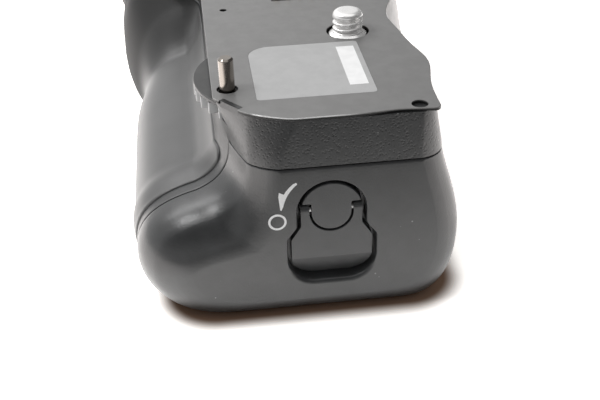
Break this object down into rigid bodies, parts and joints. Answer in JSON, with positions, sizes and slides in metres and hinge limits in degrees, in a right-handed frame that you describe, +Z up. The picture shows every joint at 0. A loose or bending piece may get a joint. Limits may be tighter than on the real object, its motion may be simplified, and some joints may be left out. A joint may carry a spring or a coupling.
{
  "type": "camera battery grip",
  "caption": "Vertical camera battery grip: seat plate with mounting screw and guide pin, hand grip, attachment wheel, slide-out battery holder with a flip-tab latch, shutter controls.",
  "frame": {"origin": "axis of the tripod socket at the base plane, below the mounting screw", "axes": "+X towards the battery-door end, -Y towards the front with the hand grip, +Z up to the camera seat"},
  "size_m": [0.1499, 0.0761, 0.0504],
  "materials": {
    "black_plastic": "matte, fine grain",
    "plate_paint": "matte paint on sheet",
    "soft_rubber": "smooth, soft",
    "steel": "plain steel",
    "polished_steel": "polished",
    "nickel": "warm nickel",
    "brass": "turned",
    "gold_contact": "plated",
    "label_grey": "printed film, left bare",
    "strip_white": "film",
    "board_green": "board",
    "inner_plastic": "moulded",
    "pack_plastic": "moulded",
    "switch_metal": "plain",
    "button_plastic": "satin"
  },
  "bodies": {
    "grip_body": {"housing": "black_plastic", "top_plate": "plate_paint", "grip_rubber": "soft_rubber", "thumb_rubber": "soft_rubber", "base_cover": "black_plastic", "base_screws": "steel", "tripod_socket": "brass", "guide_pin": "nickel", "rating_label": "label_grey", "serial_strip": "strip_white", "circuit_board": "board_green", "contact_block": "inner_plastic", "chamber_contacts": "gold_contact", "wheel_axle": "steel", "screw_bushing": "brass", "shutter_collar": "polished_steel", "dial_axle": "steel", "button_switches": "switch_metal"},
    "battery_holder": {"end_cap": "black_plastic", "battery_tray": "inner_plastic", "battery_pack_1": "pack_plastic", "battery_pack_2": "pack_plastic", "pack_terminals": "gold_contact", "cap_screws": "steel", "latch_knob": "black_plastic", "latch_bolt": "steel", "tab_pin": "steel"},
    "latch_tab": {"latch_tab": "black_plastic"},
    "attachment_wheel": {"attachment_wheel": "black_plastic"},
    "mounting_screw": {"mounting_screw": "polished_steel", "screw_gear": "brass"},
    "signal_pins": {"signal_pins": "gold_contact"},
    "shutter_button": {"shutter_button": "button_plastic"},
    "lock_ring": {"lock_ring": "black_plastic"},
    "index_dial": {"index_dial": "black_plastic"},
    "lock_button": {"lock_button": "button_plastic"},
    "point_button": {"point_button": "button_plastic"}
  },
  "joints": [
    {"name": "holder_slide", "type": "slide", "parent": "grip_body", "child": "battery_holder", "axis": [1, 0, 0], "range_m": [0, 0.105]},
    {"name": "tab_flip", "type": "hinge", "parent": "battery_holder", "child": "latch_tab", "pos_m": [0.0364, -0.0092, 0.0238], "axis": [0, -1, 0], "range_deg": [0, 90]},
    {"name": "wheel_spin", "type": "hinge", "parent": "grip_body", "child": "attachment_wheel", "pos_m": [0.0149, -0.01642, 0.04], "axis": [0, 0, 1], "continuous": true},
    {"name": "screw_spin", "type": "hinge", "parent": "grip_body", "child": "mounting_screw", "pos_m": [0, 0, 0.04], "axis": [0, 0, 1], "continuous": true},
    {"name": "pins_press", "type": "slide", "parent": "grip_body", "child": "signal_pins", "axis": [0, 0, -1], "range_m": [0, 0.0008], "stiffness_N_per_m": 600},
    {"name": "shutter_press", "type": "slide", "parent": "grip_body", "child": "shutter_button", "axis": [0.766, 0.6428, 0], "range_m": [0, 0.0012], "stiffness_N_per_m": 900},
    {"name": "lock_turn", "type": "hinge", "parent": "grip_body", "child": "lock_ring", "pos_m": [-0.096, -0.0371, 0.02], "axis": [-0.766, -0.6428, 0], "range_deg": [0, 45]},
    {"name": "dial_spin", "type": "hinge", "parent": "grip_body", "child": "index_dial", "pos_m": [-0.1062, -0.018, 0.02], "axis": [0, 0, 1], "continuous": true},
    {"name": "lock_button_press", "type": "slide", "parent": "grip_body", "child": "lock_button", "axis": [0, -1, 0], "range_m": [0, 0.001], "stiffness_N_per_m": 800},
    {"name": "point_button_press", "type": "slide", "parent": "grip_body", "child": "point_button", "axis": [0, -1, 0], "range_m": [0, 0.001], "stiffness_N_per_m": 800}
  ],
  "couplings": [
    {"joint": "screw_spin", "follows": "wheel_spin", "ratio": -2.4286}
  ]
}
